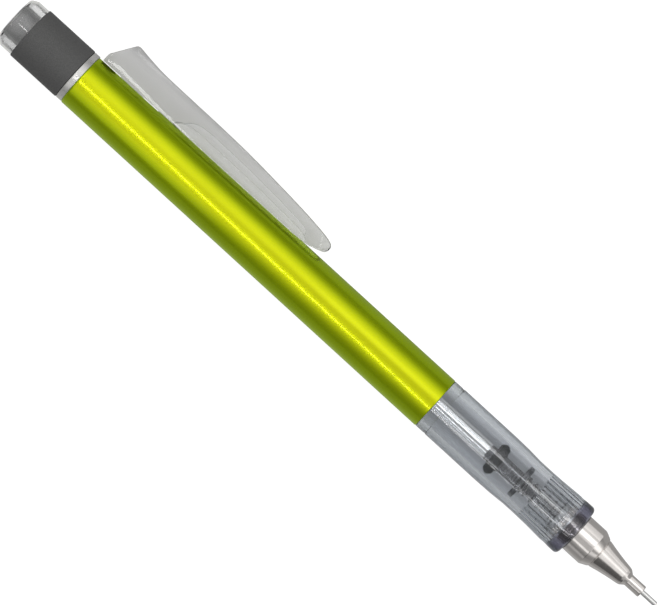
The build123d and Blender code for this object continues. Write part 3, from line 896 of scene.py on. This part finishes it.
def soft_box(name, centre, along, back, length, width, radiance, pieces):
    """Area light that reaches only the named pieces; back points away from them."""
    light = bpy.data.lights.new(name, "AREA")
    light.shape = "RECTANGLE"
    light.size, light.size_y = length, width
    light.energy = radiance * math.pi * light.size * light.size_y
    lamp = bpy.data.objects.new(name, light)
    scene.collection.objects.link(lamp)
    matrix = Matrix((along, back.cross(along), back)).transposed().to_4x4()
    matrix.translation = centre
    lamp.matrix_world = matrix
    lamp.visible_camera = False
    receivers = bpy.data.collections.new(name + "_receivers")
    for piece in pieces:
        in_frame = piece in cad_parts
        receivers.objects.link(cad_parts[piece] if in_frame else bpy.data.objects[piece])
    lamp.light_linking.receiver_collection = receivers
    return light


OUTER = ["lime_barrel", "white_tail_ring", "smoke_grip", "grained_knob", "clear_collar",
         "clear_clip", "eraser_spindle", "eraser"]
METAL = ["plated_nose_cone", "steel_lead_sleeve"]
INNER = ["bright_lead_pipe", "black_connector", "cushion_o_ring", "return_coil_spring",
         "plated_weight", "chuck"]

# narrow strip hung askew, so that its streak wanders along the barrel
key_start, key_end = Vector((-0.131, -0.0389, 0.20)), Vector((-0.053, -0.1086, 0.20))
key_along = (key_end - key_start).normalized()
key_centre = (key_start + key_end) / 2
key_back = key_centre - PENCIL_CENTRE
key_back = (key_back - key_along * key_back.dot(key_along)).normalized()
soft_box("key_strip", key_centre, key_along, key_back,
         length=0.50, width=0.009, radiance=7.0, pieces=OUTER)

# Boxes parallel to the pencil. Columns: name, angle round its axis (degrees, 0 straight up,
# + the clip side), spread seen from the axis (degrees), x from and to, distance, radiance,
# pieces lit
BOXES = [
    ("grip_streak", 16, 12, -0.30, 0.005, 0.5, 4.5, ["smoke_grip"]),
    ("grip_streak_low", -27, 5, -0.30, 0.005, 0.5, 4.0, ["smoke_grip"]),
    ("nose_side", 71, 42, -0.30, 0.30, 0.5, 0.68, METAL),
    ("nose_top", 22, 26, -0.30, 0.10, 0.5, 0.85, METAL),
    ("nose_zero", 2, 9, -0.30, 0.10, 0.5, 0.30, METAL),
    ("nose_low", -39, 11, -0.30, 0.06, 0.5, 0.80, METAL),
    ("nose_under", -82, 16, -0.30, 0.06, 0.5, 0.30, METAL),
    ("cone_top", 2, 46, 0.10, 0.30, 0.5, 0.50, METAL),
    ("ring_low", -48, 30, -0.160, -0.110, 0.12, 0.32, ["white_tail_ring"]),
    ("knob_low", -58, 50, -0.155, -0.125, 0.12, 0.22, ["grained_knob"]),
    ("pipe_left", 60, 30, -0.30, 0.20, 0.5, 1.2, INNER),
    ("pipe_right", -64, 20, -0.30, 0.20, 0.5, 2.3, INNER),
    ("pipe_low", -96, 24, -0.30, 0.20, 0.5, 1.2, INNER),
    ("barrel_rear_low", -50, 34, -0.150, -0.103, 0.12, 0.40, ["lime_barrel"]),
    ("barrel_front_high", 17, 18, -0.080, -0.040, 0.12, 0.40, ["lime_barrel"]),
]
for name, angle, spread, x_from, x_to, distance, radiance, pieces in BOXES:
    a = math.radians(angle)
    back = Vector((0, math.sin(a), math.cos(a)))
    light = soft_box(name, Vector(((x_from + x_to) / 2, 0, 0)) + back * distance,
                     Vector((1, 0, 0)), back, length=x_to - x_from,
                     width=2 * distance * math.tan(math.radians(spread / 2)),
                     radiance=radiance, pieces=pieces)
    light.cycles.use_multiple_importance_sampling = pieces is not INNER

# ===========================================================================
# world: brightness by angle round the pencil's axis
# ===========================================================================
# degrees (0 overhead, + the clip side), grey level
SKY = [
    (-180, 0.20), (-92, 0.20), (-75, 0.24), (-62, 0.28), (-48, 0.46), (-35, 0.62),
    (-14, 0.60), (0, 0.58), (8, 0.80), (15, 1.10), (24, 1.20), (36, 1.05), (48, 0.78),
    (58, 0.46), (70, 0.26), (92, 0.20), (180, 0.20)]
SKY_TIPWARD = [
    (-180, 0.32), (-64, 0.32), (-48, 0.95), (-32, 0.95), (-24, 0.40), (-10, 0.45),
    (-2, 1.10), (8, 1.65), (34, 1.60), (50, 0.80), (72, 0.42), (180, 0.40)]
CORNER_GREY, TAILWARD_GREY = 0.10, 0.62

world = bpy.data.worlds.new("studio")
scene.world = world
sky = Graph(world, "ShaderNodeOutputWorld")
toward_x, toward_y, toward_z = sky.split(sky.coord.outputs["Generated"])
around = sky.math("ARCTAN2", toward_y, toward_z)
turn = sky.remap(around, given=(-math.pi, math.pi))


def sky_ramp(rows):
    return sky.ramp(turn, [((degrees + 180) / 360, grey) for degrees, grey in rows])


def fade(source, given, to=(0, 1)):
    return sky.remap(source, given=given, to=to, interpolation="SMOOTHSTEP")


# a dark corner of the room beyond the tip on the far side from the clip
corner = sky.chain("MULTIPLY", fade(toward_x, given=(0.10, 0.22)),
                   fade(toward_x, given=(0.50, 0.70), to=(1, 0)),
                   fade(around, given=(math.radians(-32), math.radians(-23)), to=(0.95, 0)))
grey = sky.mix(corner, sky_ramp(SKY), CORNER_GREY)
# the tip end has its own sky, and the tail end is evenly lit
grey = sky.mix(fade(toward_x, given=(0.45, 0.80)), grey, sky_ramp(SKY_TIPWARD))
grey = sky.mix(fade(toward_x, given=(-0.55, -0.95)), grey, TAILWARD_GREY)
background = sky.add("ShaderNodeBackground", {"Color": grey})
sky.put(background.outputs[0], sky.out.inputs["Surface"])

# ===========================================================================
# camera
# ===========================================================================
CAMERA_HEIGHT = 1.0
VIEW_WIDTH = 0.11087        # width seen at the pencil's axis
SENSOR = 36.0
camera_data = bpy.data.cameras.new("camera")
camera = bpy.data.objects.new("camera", camera_data)
scene.collection.objects.link(camera)
camera_data.sensor_width = SENSOR
camera_data.lens = SENSOR * CAMERA_HEIGHT / VIEW_WIDTH
camera_data.clip_start, camera_data.clip_end = 0.1, 20.0
camera.location = PENCIL_CENTRE + Vector((0, 0, CAMERA_HEIGHT))
camera.rotation_euler = (0, 0, math.radians(42.43))
scene.camera = camera
scene.view_settings.view_transform = "Standard"
scene.view_settings.look = "None"
scene.view_settings.exposure = 0.0
scene.view_settings.gamma = 1.0
